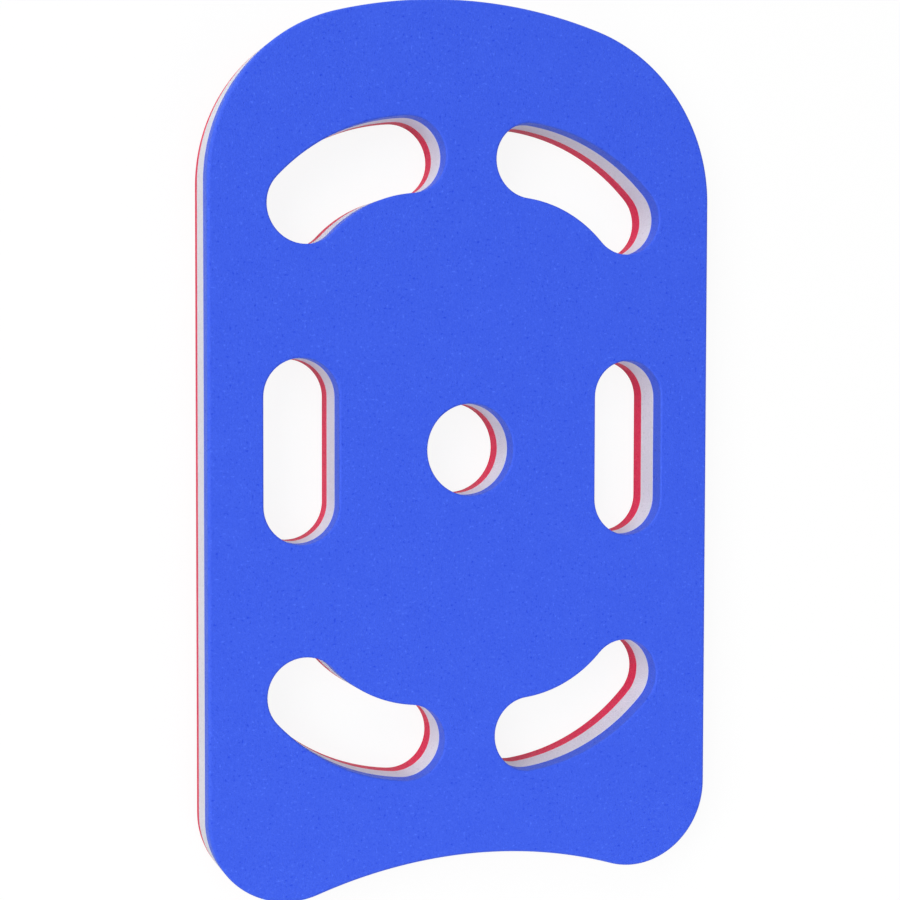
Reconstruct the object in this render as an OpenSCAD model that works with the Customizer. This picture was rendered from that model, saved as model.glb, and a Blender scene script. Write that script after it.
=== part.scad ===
// Kickboard float: three closed-cell foam sheets, welded face to face, with cut-outs through all of them.
// It lies on its back face, the arched end toward +Y and the feet toward -Y.
// The origin is on the axis of the centre hole, in the plane of the back face.

/* [Outline] */
// Length from the arched end to the feet
board_length = 480; // [420:1:560]
// Width between the straight sides
board_width = 290; // [255:1:340]
// Radius of the crown, the arc across the arched end
crown_r = 271; // [220:1:400]
// Radius of the shoulders, the arcs from the crown to the sides
shoulder_r = 96; // [70:1:115]
// Radius of the two rounded feet
foot_r = 45; // [28:0.5:60]
// Height of the shallow hollow between the feet
hollow_rise = 16; // [6:0.5:26]

/* [Foam sheets] */
// Thickness of the front sheet
front_t = 10; // [6:0.5:20]
// Thickness of the core sheet
core_t = 15; // [5:0.5:30]
// Thickness of the back sheet
back_t = 10; // [6:0.5:20]
// Radius of the rounded outer edge on the front face
front_edge_r = 2; // [1:0.5:5]
// Radius of the rounded outer edge on the back face
back_edge_r = 6; // [1:0.5:9]

/* [Centre hole] */
// Diameter of the centre hole
centre_hole_d = 50; // [20:1:90]
// Distance of the centre hole from mid-length, toward the feet
centre_hole_shift = 2; // [0:0.5:10]

/* [Side slots] */
// Width of the two upright side slots
side_slot_w = 41; // [25:1:50]
// Length of a side slot over its round ends
side_slot_length = 98; // [60:1:130]
// Distance of a side slot's centre line from the centre hole
side_slot_x = 95; // [75:1:112]

/* [Hand slots] */
// Width of the four bent hand slots
hand_slot_w = 41; // [25:1:50]
// Bend radius of a hand slot's centre line
hand_bend_r = 91.5; // [70:0.5:200]
// Distance of a hand slot's inner end centre from the centre hole, across the board
hand_inner_x = 35.2; // [25:0.1:50]
// Distance of a hand slot's inner end centre from the centre hole, along the board
hand_inner_y = 158; // [145:0.5:175]
// Distance of a hand slot's outer end centre from the centre hole, across the board
hand_outer_x = 93.04; // [80:0.01:110]
// Distance of a hand slot's outer end centre from the centre hole, along the board
hand_outer_y = 129.08; // [115:0.01:140]

/* [Hidden] */
$fn = 160;

// How far a cutter runs past the surface that it cuts
overcut = 1;

// Heights of the welds between the sheets
back_weld_z = back_t;
front_weld_z = back_t + core_t;

// The rounded edge on the back leaves at least 1 mm of upright wall below the weld
back_round = min(back_edge_r, back_t - 1);

// Sides and ends of the outline
half_w = board_width / 2;
top_y = board_length / 2 + centre_hole_shift;
foot_y = top_y - board_length;

// The shoulders touch the sides and lie inside the crown, tangent to it
shoulder_x = half_w - shoulder_r;
crown_y = top_y - crown_r;
crown_half_angle = asin(shoulder_x / (crown_r - shoulder_r));
shoulder_y = crown_y + (crown_r - shoulder_r) * cos(crown_half_angle);

// The hollow is the arc that touches both feet and rises by hollow_rise between them
foot_x = half_w - foot_r;
foot_centre_y = foot_y + foot_r;
hollow_r = (foot_x ^ 2 + hollow_rise ^ 2 - 2 * foot_r * hollow_rise) / (2 * hollow_rise);
hollow_y = foot_y + hollow_rise - hollow_r;
hollow_half_angle = atan2(foot_x, foot_centre_y - hollow_y);

// A hand slot bends round a centre that lies on the inner side of the line between its ends
hand_inner = [hand_inner_x, hand_inner_y];
hand_outer = [hand_outer_x, hand_outer_y];
hand_chord = hand_outer - hand_inner;
hand_inward = [hand_chord.y, -hand_chord.x] / norm(hand_chord);
hand_bend_depth = sqrt(hand_bend_r ^ 2 - (norm(hand_chord) / 2) ^ 2);
hand_centre = (hand_inner + hand_outer) / 2 + hand_bend_depth * hand_inward;

// A point twice as far from the bend centre, outside the slot
function past_slot(point) = hand_centre + 2 * (point - hand_centre);

// What rounding takes off the corner at the origin, of a section that lies below and left of it
module corner_waste(r) {
    difference() {
        translate([-r, -r]) square(r + overcut);
        translate([-r, -r]) circle(r);
    }
}

// Section of a sheet of thickness t, from an axis out to its reach, with the outer upper corner rounded by r
module rim_section(reach, t, r) {
    difference() {
        square([reach, t]);
        if (r > 0) translate([reach, t]) corner_waste(r);
    }
}

// Arched end: the crown between the tangent lines to the shoulders, and the shoulders
module arched_end(t, r) {
    translate([0, crown_y])
        rotate_extrude(angle = 2 * crown_half_angle, start = 90 - crown_half_angle)
            rim_section(crown_r, t, r);
    for (side = [-1, 1])
        translate([side * shoulder_x, shoulder_y]) rotate_extrude() rim_section(shoulder_r, t, r);
}

// Straight stretch between the shoulders and the feet
module straight_stretch(t, r) {
    translate([0, shoulder_y]) rotate([90, 0, 0]) linear_extrude(shoulder_y - foot_centre_y)
        for (side = [0, 1]) mirror([side, 0]) rim_section(half_w, t, r);
}

// Foot end: the two feet, and the band between them that ends in the hollow
module foot_end(t, r) {
    for (side = [-1, 1])
        translate([side * foot_x, foot_centre_y]) rotate_extrude() rim_section(foot_r, t, r);
    translate([0, hollow_y])
        rotate_extrude(angle = 2 * hollow_half_angle, start = 90 - hollow_half_angle)
            translate([hollow_r + foot_r, 0]) mirror([1, 0]) rim_section(foot_r, t, r);
}

// Outline of an upright slot with round ends
module side_slot() {
    straight = side_slot_length - side_slot_w;
    square([side_slot_w, straight], center = true);
    for (end = [-1, 1]) translate([0, end * straight / 2]) circle(d = side_slot_w);
}

// Outline of the bent hand slot at +X and +Y: a band of two arcs, closed by round ends
module hand_slot() {
    intersection() {
        translate(hand_centre) difference() {
            circle(hand_bend_r + hand_slot_w / 2);
            circle(hand_bend_r - hand_slot_w / 2);
        }
        polygon([hand_centre, past_slot(hand_inner), past_slot(hand_outer)]);
    }
    for (end = [hand_inner, hand_outer]) translate(end) circle(d = hand_slot_w);
}

// Outlines of all seven cut-outs
module cut_outs() {
    circle(d = centre_hole_d);
    for (side = [-1, 1]) translate([side * side_slot_x, 0]) side_slot();
    for (across = [0, 1], along = [0, 1])
        mirror([across, 0]) mirror([0, along]) hand_slot();
}

// Foam sheet of thickness t that lies on z = 0, with its outer upper edge rounded by r
module foam_sheet(t, r) {
    difference() {
        union() {
            arched_end(t, r);
            straight_stretch(t, r);
            foot_end(t, r);
        }
        translate([0, 0, -overcut]) linear_extrude(t + 2 * overcut) cut_outs();
    }
}

// Blue sheet, whose face is the front of the board
module front_sheet() {
    color([0.25, 0.38, 0.92]) translate([0, 0, front_weld_z]) foam_sheet(front_t, front_edge_r);
}

// White sheet in the middle, with square edges
module core_sheet() {
    color([0.9, 0.9, 0.92]) translate([0, 0, back_weld_z]) foam_sheet(core_t, 0);
}

// Red sheet, whose face is the back of the board
module back_sheet() {
    color([0.83, 0.18, 0.27])
        translate([0, 0, back_weld_z]) mirror([0, 0, 1]) foam_sheet(back_t, back_round);
}

front_sheet();
core_sheet();
back_sheet();
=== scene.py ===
import math
from collections import namedtuple

import bmesh
import bpy
from mathutils import Euler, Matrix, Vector


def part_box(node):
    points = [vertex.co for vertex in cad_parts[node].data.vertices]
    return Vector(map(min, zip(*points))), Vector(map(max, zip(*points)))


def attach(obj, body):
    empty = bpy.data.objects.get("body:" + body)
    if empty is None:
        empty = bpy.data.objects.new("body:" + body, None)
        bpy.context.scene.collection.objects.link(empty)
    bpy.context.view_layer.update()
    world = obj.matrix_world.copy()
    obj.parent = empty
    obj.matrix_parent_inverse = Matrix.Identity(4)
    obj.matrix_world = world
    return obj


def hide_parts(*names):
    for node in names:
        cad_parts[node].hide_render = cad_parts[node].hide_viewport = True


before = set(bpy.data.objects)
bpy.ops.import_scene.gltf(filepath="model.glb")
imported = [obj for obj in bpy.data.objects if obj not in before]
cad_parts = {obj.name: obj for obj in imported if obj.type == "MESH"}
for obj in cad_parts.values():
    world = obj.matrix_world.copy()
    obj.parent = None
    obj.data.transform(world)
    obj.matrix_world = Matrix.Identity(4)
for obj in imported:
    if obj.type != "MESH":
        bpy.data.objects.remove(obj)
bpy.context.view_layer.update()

# Outline of the board, in metres: its ends and sides come from the core sheet
core_low, core_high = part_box("core_sheet")
HALF_WIDTH = core_high.x
TOP_Y = core_high.y
FOOT_Y = core_low.y
CROWN_R = 0.271
SHOULDER_R = 0.096
FOOT_R = 0.045
HOLLOW_RISE = 0.016

# Cut-outs through all the sheets
CENTRE_HOLE_R = 0.025
SLOT_HALF_W = 0.0205
SIDE_SLOT_X = 0.095
SIDE_SLOT_STRAIGHT = 0.057
HAND_BEND_R = 0.0915
HAND_INNER = Vector((0.0352, 0.158, 0))
HAND_OUTER = Vector((0.09304, 0.12908, 0))

# Rounded edges on one side of a sheet, along the outline and along the cut-outs: soft on the two faces
# of the board, and so small at a weld that two sheets leave a fine groove between them
Rounds = namedtuple("Rounds", "outline lip")
FRONT_ROUNDS = Rounds(outline=0.002, lip=0.0012)
BACK_ROUNDS = Rounds(outline=0.006, lip=0.0012)
WELD_ROUNDS = Rounds(outline=0.0003, lip=0.0003)

# A straight run of an edge's section, and a turn of it round an upright axis
Shift = namedtuple("Shift", "way")
Turn = namedtuple("Turn", "centre radius angle")

# Mesh of an edge: the strip of face that it carries with it, the longest steps of its runs and the
# segments of its rounds; then the limits within which points are one, and lie at one height
FACE_STRIP = 0.008
STRAIGHT_STEP = 0.008
TURN_STEP = 0.002
LEAST_SEGMENTS = 3
SEGMENTS_PER_METRE = 1000
ONE_POINT = 2e-5
ONE_HEIGHT = 1e-6

# Foam: how many of its cells, grains, specks and patches there are in a metre
CELLS_PER_METRE = 1150
GRAINS_PER_METRE = 1300
SPECKS_PER_METRE = 680
PATCHES_PER_METRE = 60

# Detail of the noise in the grain and the patches, and in the specks, and the middle of that noise
FINE_DETAIL = 2
NO_DETAIL = 0
NOISE_MIDDLE = 0.5

# Tone of the foam, from 0, deep, to 1, pale: what the grain, the patches and a full speck add to it,
# from a start at which the middle of the noise gives the middle tone
MIDDLE_TONE = 0.5
GRAIN_SHARE = 0.62
PATCH_SHARE = 0.15
SPECK_SHARE = 0.46
TONE_START = MIDDLE_TONE - (GRAIN_SHARE + PATCH_SHARE) * NOISE_MIDDLE

# How far its noise is from the middle where a speck begins, and where it is full
SPECK_BEGINS = 0.19
SPECK_FULL = 0.34

# How far a normal points along the board's thickness: at most on a cut wall, and at least on a face,
# between which the pale of the cut and its painted sheen fade out
WALL_LEVEL = 0.5
FACE_LEVEL = 0.97

# Roughness in the hollows and on the tops of the grain, and the noise at which each is reached
HOLLOW_ROUGHNESS = 0.65
TOP_ROUGHNESS = 0.4
HOLLOW_GRAIN = 0.3
TOP_GRAIN = 0.7

# Relief of the foam: the height of its grain beside its cells, and the strength and depth of it all
GRAIN_HEIGHT = 0.6
RELIEF_STRENGTH = 0.5
RELIEF_DEPTH = 0.0004

# Floor: its half width and its squares to a side, and its paper
FLOOR_HALF_WIDTH = 6
FLOOR_SQUARES = 4
PAPER_GREY = (0.4, 0.4, 0.4, 1)
PAPER_WHITE = (0.95, 0.95, 0.95, 1)
PAPER_ROUGHNESS = 0.9

# Distances from the origin at which the shadow on the floor begins to fade and is gone, because the
# share of white glow that is seen there goes up from the one near the board to 1
SHADOW_FADES = 0.6
SHADOW_ENDS = 2.5
GLOW_IN_SHADOW = 0.9

# Light of the world, beside the white that is seen
WORLD_LIGHT = 0.27
WHITE = (1, 1, 1, 1)

# Camera: its lens and sensor in mm, its place, and its turns about X, Y and Z in degrees
LENS = 66.59
SENSOR = 36
CAMERA_PLACE = (-0.3283, 0.0332, 0.8773)
CAMERA_TURNS = (-2.258, -20.5455, -0.6684)


def edge_section(bm, wall, into_foam, heights, rounds):
    """Section of a sheet's edge: out over the lower face, up the wall and back over the upper face."""
    low, high = (Vector((0, 0, height)) for height in heights)
    strip = into_foam * FACE_STRIP
    corners = [wall + strip + low, wall + low, wall + high, wall + strip + high]
    points = [bm.verts.new(corner) for corner in corners]
    for pair in zip(points, points[1:]):
        bm.edges.new(pair)
    for corner, radius in zip(points[1:3], rounds):
        segments = LEAST_SEGMENTS + math.ceil(radius * SEGMENTS_PER_METRE)
        bmesh.ops.bevel(
            bm, geom=[corner], offset=radius, offset_type="OFFSET", affect="VERTICES",
            segments=segments, profile=0.5, material=-1)
    edges = [edge for edge in bm.edges if edge.is_wire]
    ends = dict.fromkeys(point for edge in edges for point in edge.verts)
    return edges + list(ends)


def carried(bm, section, run):
    """Carries a section along one run and returns it where the run ends."""
    if isinstance(run, Shift):
        steps = math.ceil(run.way.length / STRAIGHT_STEP)
        motion = dict(dvec=run.way / steps, angle=0, cent=(0, 0, 0))
    else:
        steps = math.ceil(run.radius * abs(run.angle) / TURN_STEP)
        motion = dict(dvec=(0, 0, 0), angle=run.angle, cent=run.centre)
    swept = bmesh.ops.spin(bm, geom=section, axis=(0, 0, 1), steps=steps, **motion)
    return swept["geom_last"]


def swept_edge(bm, wall, into_foam, runs, heights, rounds):
    """One edge of a sheet: its section, carried along the runs in turn."""
    section = edge_section(bm, wall, into_foam, heights, rounds)
    for run in runs:
        section = carried(bm, section, run)


def outline_runs():
    """Right half of the outline, from the middle of the arched end to the middle of the hollow."""
    shoulder_x = HALF_WIDTH - SHOULDER_R
    crown_y = TOP_Y - CROWN_R
    crown_half = math.asin(shoulder_x / (CROWN_R - SHOULDER_R))
    shoulder_y = crown_y + (CROWN_R - SHOULDER_R) * math.cos(crown_half)
    foot_x = HALF_WIDTH - FOOT_R
    foot_centre_y = FOOT_Y + FOOT_R
    hollow_r = (foot_x ** 2 + HOLLOW_RISE ** 2 - 2 * FOOT_R * HOLLOW_RISE) / (2 * HOLLOW_RISE)
    hollow_y = FOOT_Y + HOLLOW_RISE - hollow_r
    hollow_half = math.atan2(foot_x, foot_centre_y - hollow_y)
    return [
        Turn(Vector((0, crown_y, 0)), CROWN_R, -crown_half),
        Turn(Vector((shoulder_x, shoulder_y, 0)), SHOULDER_R, crown_half - math.pi / 2),
        Shift(Vector((0, foot_centre_y - shoulder_y, 0))),
        Turn(Vector((foot_x, foot_centre_y, 0)), FOOT_R, -hollow_half - math.pi / 2),
        Turn(Vector((0, hollow_y, 0)), hollow_r, hollow_half),
    ]


def side_slot_runs():
    """Round the side slot at +X, from the middle of its outer wall."""
    half = Vector((0, SIDE_SLOT_STRAIGHT / 2, 0))
    axis = Vector((SIDE_SLOT_X, 0, 0))
    return [
        Shift(-half),
        Turn(axis - half, SLOT_HALF_W, -math.pi),
        Shift(2 * half),
        Turn(axis + half, SLOT_HALF_W, -math.pi),
        Shift(-half),
    ]


def hand_slot_bend():
    """Bend centre of the hand slot at +X and +Y, and the angle that it bends through."""
    chord = HAND_OUTER - HAND_INNER
    inward = Vector((chord.y, -chord.x, 0)).normalized()
    depth = math.sqrt(HAND_BEND_R ** 2 - (chord.length / 2) ** 2)
    centre = (HAND_INNER + HAND_OUTER) / 2 + depth * inward
    return centre, (HAND_INNER - centre).angle(HAND_OUTER - centre)


def hand_slot_runs():
    """Round the hand slot at +X and +Y, from the inner end of its longer wall."""
    centre, bend = hand_slot_bend()
    return [
        Turn(centre, HAND_BEND_R + SLOT_HALF_W, -bend),
        Turn(HAND_OUTER, SLOT_HALF_W, -math.pi),
        Turn(centre, HAND_BEND_R - SLOT_HALF_W, bend),
        Turn(HAND_INNER, SLOT_HALF_W, -math.pi),
    ]


def mirrored(bm, axis):
    """Adds the mirror image, along an axis, of all that is made so far."""
    bmesh.ops.mirror(bm, geom=bm.verts[:] + bm.edges[:] + bm.faces[:], axis=axis, merge_dist=0)


def sheet_edges(bm, heights, outline_rounds, lip_rounds):
    """All edges of a sheet: the cut-outs and the outline of its right half, mirrored to the left."""
    bend_centre, _ = hand_slot_bend()
    outward = (HAND_INNER - bend_centre).normalized()
    hand_wall = HAND_INNER + outward * SLOT_HALF_W
    swept_edge(bm, hand_wall, outward, hand_slot_runs(), heights, lip_rounds)
    mirrored(bm, "Y")
    side_wall = Vector((SIDE_SLOT_X + SLOT_HALF_W, 0, 0))
    swept_edge(bm, side_wall, Vector((1, 0, 0)), side_slot_runs(), heights, lip_rounds)
    hole_wall = Vector((0, CENTRE_HOLE_R, 0))
    half_hole = [Turn(Vector((0, 0, 0)), CENTRE_HOLE_R, -math.pi)]
    swept_edge(bm, hole_wall, Vector((0, 1, 0)), half_hole, heights, lip_rounds)
    arched_end = Vector((0, TOP_Y, 0))
    swept_edge(bm, arched_end, Vector((0, -1, 0)), outline_runs(), heights, outline_rounds)
    mirrored(bm, "X")
    bmesh.ops.remove_doubles(bm, verts=bm.verts, dist=ONE_POINT)


def sheet_mesh(name, heights, low_rounds, high_rounds):
    """Mesh of a sheet between two heights: its edges, closed by a flat face below and one above."""
    bm = bmesh.new()
    outline_rounds = (low_rounds.outline, high_rounds.outline)
    lip_rounds = (low_rounds.lip, high_rounds.lip)
    sheet_edges(bm, heights, outline_rounds, lip_rounds)
    for height in heights:
        rim = [e for e in bm.edges if e.is_boundary and abs(e.verts[0].co.z - height) < ONE_HEIGHT]
        bmesh.ops.triangle_fill(bm, edges=rim, use_beauty=True, normal=(0, 0, 1))
    bmesh.ops.recalc_face_normals(bm, faces=bm.faces)
    mesh = bpy.data.meshes.new(name)
    bm.to_mesh(mesh)
    bm.free()
    mesh.shade_smooth()
    return mesh


def foam_sheet(name, node, low_rounds, high_rounds):
    """A foam sheet in the place of its node, with the rounded edges of its lower and its upper side."""
    low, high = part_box(node)
    mesh = sheet_mesh(name, (low.z, high.z), low_rounds, high_rounds)
    sheet = bpy.data.objects.new(name, mesh)
    bpy.context.scene.collection.objects.link(sheet)
    level = sheet.modifiers.new("flat_faces", "WEIGHTED_NORMAL")
    level.mode = "FACE_AREA"
    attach(sheet, "root")
    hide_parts(node)
    return sheet


def add_node(tree, kind, settings=(), inputs=()):
    """A shader node, with its settings and its inputs, each a value or another node's output."""
    made = tree.nodes.new("ShaderNode" + kind)
    for name, value in dict(settings).items():
        setattr(made, name, value)
    for name, value in dict(inputs).items():
        if isinstance(value, bpy.types.NodeSocket):
            tree.links.new(value, made.inputs[name])
        else:
            made.inputs[name].default_value = value
    return made


def maths(tree, operation, *terms):
    """Output of a Math node on the given terms, each a value or another node's output."""
    return add_node(tree, "Math", {"operation": operation}, dict(enumerate(terms))).outputs["Value"]


def ranged(tree, value, start, end, at_start, at_end):
    """A value that goes evenly from at_start to at_end while the given one goes from start to end."""
    limits = {"From Min": start, "From Max": end, "To Min": at_start, "To Max": at_end}
    return add_node(tree, "MapRange", inputs={"Value": value, **limits}).outputs["Result"]


def noise(tree, place, per_metre, detail):
    """Noise from 0 to 1, with so many lumps in a metre."""
    pattern = {"Vector": place, "Scale": per_metre, "Detail": detail}
    return add_node(tree, "TexNoise", inputs=pattern).outputs["Fac"]


def foam_specks(tree, place):
    """Scattered specks: dark pits below 0 and pale knobs above it."""
    lumps = noise(tree, place, SPECKS_PER_METRE, NO_DETAIL)
    pits = ranged(
        tree, lumps, NOISE_MIDDLE - SPECK_FULL, NOISE_MIDDLE - SPECK_BEGINS, -SPECK_SHARE, 0)
    knobs = ranged(
        tree, lumps, NOISE_MIDDLE + SPECK_BEGINS, NOISE_MIDDLE + SPECK_FULL, 0, SPECK_SHARE)
    return maths(tree, "ADD", pits, knobs)


def cut_and_sheen_tone(tree, normal, cut_and_sheen_share):
    """What is added to the tone by the way a surface faces: all of the share on a wall, and nothing on a
    face. This pale is partly the cut foam's own tone and partly painted sheen.
    """
    along = add_node(tree, "SeparateXYZ", inputs={"Vector": normal}).outputs["Z"]
    return ranged(tree, maths(tree, "ABSOLUTE", along), WALL_LEVEL, FACE_LEVEL, cut_and_sheen_share, 0)


def foam_relief(tree, place, grain, specks):
    """Normal of the foam's fine relief: its cells, its grain and its specks."""
    cells = add_node(tree, "TexVoronoi", inputs={"Vector": place, "Scale": CELLS_PER_METRE})
    height = maths(tree, "MULTIPLY_ADD", grain, GRAIN_HEIGHT, cells.outputs["Distance"])
    height = maths(tree, "ADD", height, specks)
    relief = {"Height": height, "Strength": RELIEF_STRENGTH, "Distance": RELIEF_DEPTH}
    return add_node(tree, "Bump", inputs=relief).outputs["Normal"]


def three_tones(tree, tone, deep, middle, pale):
    """Colour that runs from deep through middle to pale with the tone."""
    ramp = add_node(tree, "ValToRGB", inputs={"Fac": tone})
    stops = ramp.color_ramp.elements
    stops[0].color = (*deep, 1)
    stops[1].color = (*pale, 1)
    stops.new(MIDDLE_TONE).color = (*middle, 1)
    return ramp.outputs["Color"]


def closed_cell_foam(name, deep, middle, pale, gloss, cut_and_sheen_share):
    """Closed-cell foam: a fine grain, in three tones of one colour, that is paler on walls and steep
    rounds, partly as the cut foam's own tone and partly as painted sheen.
    """
    material = bpy.data.materials.new(name)
    material.use_nodes = True
    tree = material.node_tree
    shader = tree.nodes["Principled BSDF"].inputs
    surface = add_node(tree, "TexCoord").outputs
    place = surface["Object"]
    grain = noise(tree, place, GRAINS_PER_METRE, FINE_DETAIL)
    patches = noise(tree, place, PATCHES_PER_METRE, FINE_DETAIL)
    specks = foam_specks(tree, place)
    tone = maths(tree, "MULTIPLY_ADD", grain, GRAIN_SHARE, TONE_START)
    tone = maths(tree, "MULTIPLY_ADD", patches, PATCH_SHARE, tone)
    tone = maths(tree, "ADD", tone, specks)
    # Paler on walls and steep rounds: partly the cut foam's own tone, partly painted sheen
    tone = maths(tree, "ADD", tone, cut_and_sheen_tone(tree, surface["Normal"], cut_and_sheen_share))
    roughness = ranged(tree, grain, HOLLOW_GRAIN, TOP_GRAIN, HOLLOW_ROUGHNESS, TOP_ROUGHNESS)
    tree.links.new(three_tones(tree, tone, deep, middle, pale), shader["Base Color"])
    tree.links.new(roughness, shader["Roughness"])
    tree.links.new(foam_relief(tree, place, grain, specks), shader["Normal"])
    shader["Specular IOR Level"].default_value = gloss
    return material


def blue_foam():
    """Foam of the front sheet."""
    return closed_cell_foam(
        "blue_foam", deep=(0.018, 0.063, 0.69), middle=(0.0405, 0.1025, 0.757), pale=(0.066, 0.151, 0.88),
        gloss=0.15, cut_and_sheen_share=0.4)


def white_foam():
    """Foam of the core sheet, a little cool."""
    return closed_cell_foam(
        "white_foam", deep=(0.65, 0.645, 0.71), middle=(0.76, 0.76, 0.825), pale=(0.88, 0.875, 0.945),
        gloss=0.2, cut_and_sheen_share=0.3)


def red_foam():
    """Foam of the back sheet."""
    return closed_cell_foam(
        "red_foam", deep=(0.66, 0.007, 0.055), middle=(0.77, 0.014, 0.077), pale=(0.88, 0.036, 0.112),
        gloss=0.15, cut_and_sheen_share=0.3)


def front_sheet():
    """Blue sheet, whose face is the front of the board."""
    sheet = foam_sheet("front_foam", "front_sheet", low_rounds=WELD_ROUNDS, high_rounds=FRONT_ROUNDS)
    sheet.data.materials.append(blue_foam())


def core_sheet():
    """White sheet between the two welds."""
    sheet = foam_sheet("core_foam", "core_sheet", low_rounds=WELD_ROUNDS, high_rounds=WELD_ROUNDS)
    sheet.data.materials.append(white_foam())


def back_sheet():
    """Red sheet, whose face is the back of the board."""
    sheet = foam_sheet("back_foam", "back_sheet", low_rounds=BACK_ROUNDS, high_rounds=WELD_ROUNDS)
    sheet.data.materials.append(red_foam())


def seen_ray(tree):
    """1 for a ray by which the studio is seen, straight, mirrored or through glass, and 0 for others."""
    rays = add_node(tree, "LightPath").outputs
    seen = maths(tree, "MAXIMUM", rays["Is Camera Ray"], rays["Is Glossy Ray"])
    return maths(tree, "MAXIMUM", seen, rays["Is Transmission Ray"])


def mixed(tree, share, first, second):
    """Mix of two shaders, with the given share of the second."""
    shaders = {0: share, 1: first.outputs[0], 2: second.outputs[0]}
    return add_node(tree, "MixShader", inputs=shaders)


def floor_paper():
    """Grey paper that is seen as white, with a faint shadow of the board that fades out round it."""
    material = bpy.data.materials.new("floor_paper")
    material.use_nodes = True
    tree = material.node_tree
    paper = tree.nodes["Principled BSDF"]
    paper.inputs["Base Color"].default_value = PAPER_GREY
    paper.inputs["Roughness"].default_value = PAPER_ROUGHNESS
    paper.inputs["Specular IOR Level"].default_value = 0
    shaded = add_node(tree, "BsdfDiffuse", inputs={"Color": PAPER_WHITE})
    glow = add_node(tree, "Emission", inputs={"Color": WHITE, "Strength": 1})
    place = add_node(tree, "TexCoord").outputs["Object"]
    reach = add_node(tree, "VectorMath", {"operation": "LENGTH"}, {0: place}).outputs["Value"]
    seen = mixed(tree, ranged(tree, reach, SHADOW_FADES, SHADOW_ENDS, GLOW_IN_SHADOW, 1), shaded, glow)
    both = mixed(tree, seen_ray(tree), paper, seen)
    tree.links.new(both.outputs[0], tree.nodes["Material Output"].inputs["Surface"])
    return material


def pale_floor():
    """Plain pale floor, on which the board lies."""
    bm = bmesh.new()
    bmesh.ops.create_grid(
        bm, x_segments=FLOOR_SQUARES, y_segments=FLOOR_SQUARES, size=FLOOR_HALF_WIDTH)
    mesh = bpy.data.meshes.new("floor")
    bm.to_mesh(mesh)
    bm.free()
    mesh.materials.append(floor_paper())
    floor = bpy.data.objects.new("floor", mesh)
    bpy.context.scene.collection.objects.link(floor)


def soft_world():
    """Even soft light from all round, seen as white."""
    world = bpy.data.worlds.new("studio")
    bpy.context.scene.world = world
    world.use_nodes = True
    tree = world.node_tree
    sky = tree.nodes["Background"].inputs
    sky["Color"].default_value = WHITE
    tree.links.new(ranged(tree, seen_ray(tree), 0, 1, WORLD_LIGHT, 1), sky["Strength"])


def soft_lamp(name, place, watts, size):
    """Square lamp at a place, aimed at the board, and wide enough for soft shadows."""
    lamp = bpy.data.lights.new(name, "AREA")
    lamp.shape = "SQUARE"
    lamp.size = size
    lamp.energy = watts
    stand = bpy.data.objects.new(name, lamp)
    stand.location = place
    stand.rotation_euler = (-stand.location).to_track_quat("-Z", "Y").to_euler()
    bpy.context.scene.collection.objects.link(stand)


def studio():
    """Pale floor, soft world and soft lamps: strong ones on the left, faint ones at the feet and right."""
    pale_floor()
    soft_world()
    soft_lamp("left_lamp", place=(-3.6, 0.6, 4.1), watts=179, size=2.8)
    soft_lamp("arch_lamp", place=(-2.6, 4.9, 5.0), watts=174, size=3.8)
    soft_lamp("foot_lamp", place=(0.25, -1.15, 1.0), watts=5.5, size=0.75)
    soft_lamp("right_lamp", place=(3.9, 0.0, 3.9), watts=28, size=2.8)


def camera():
    """Camera above the board and to its left, a little past its middle."""
    data = bpy.data.cameras.new("camera")
    data.sensor_width = SENSOR
    data.lens = LENS
    view = bpy.data.objects.new("camera", data)
    view.rotation_mode = "ZYX"
    view.rotation_euler = Euler([math.radians(turn) for turn in CAMERA_TURNS], "ZYX")
    view.location = CAMERA_PLACE
    bpy.context.scene.collection.objects.link(view)
    bpy.context.scene.camera = view


front_sheet()
core_sheet()
back_sheet()
studio()
camera()
bpy.context.scene.view_settings.view_transform = "Standard"
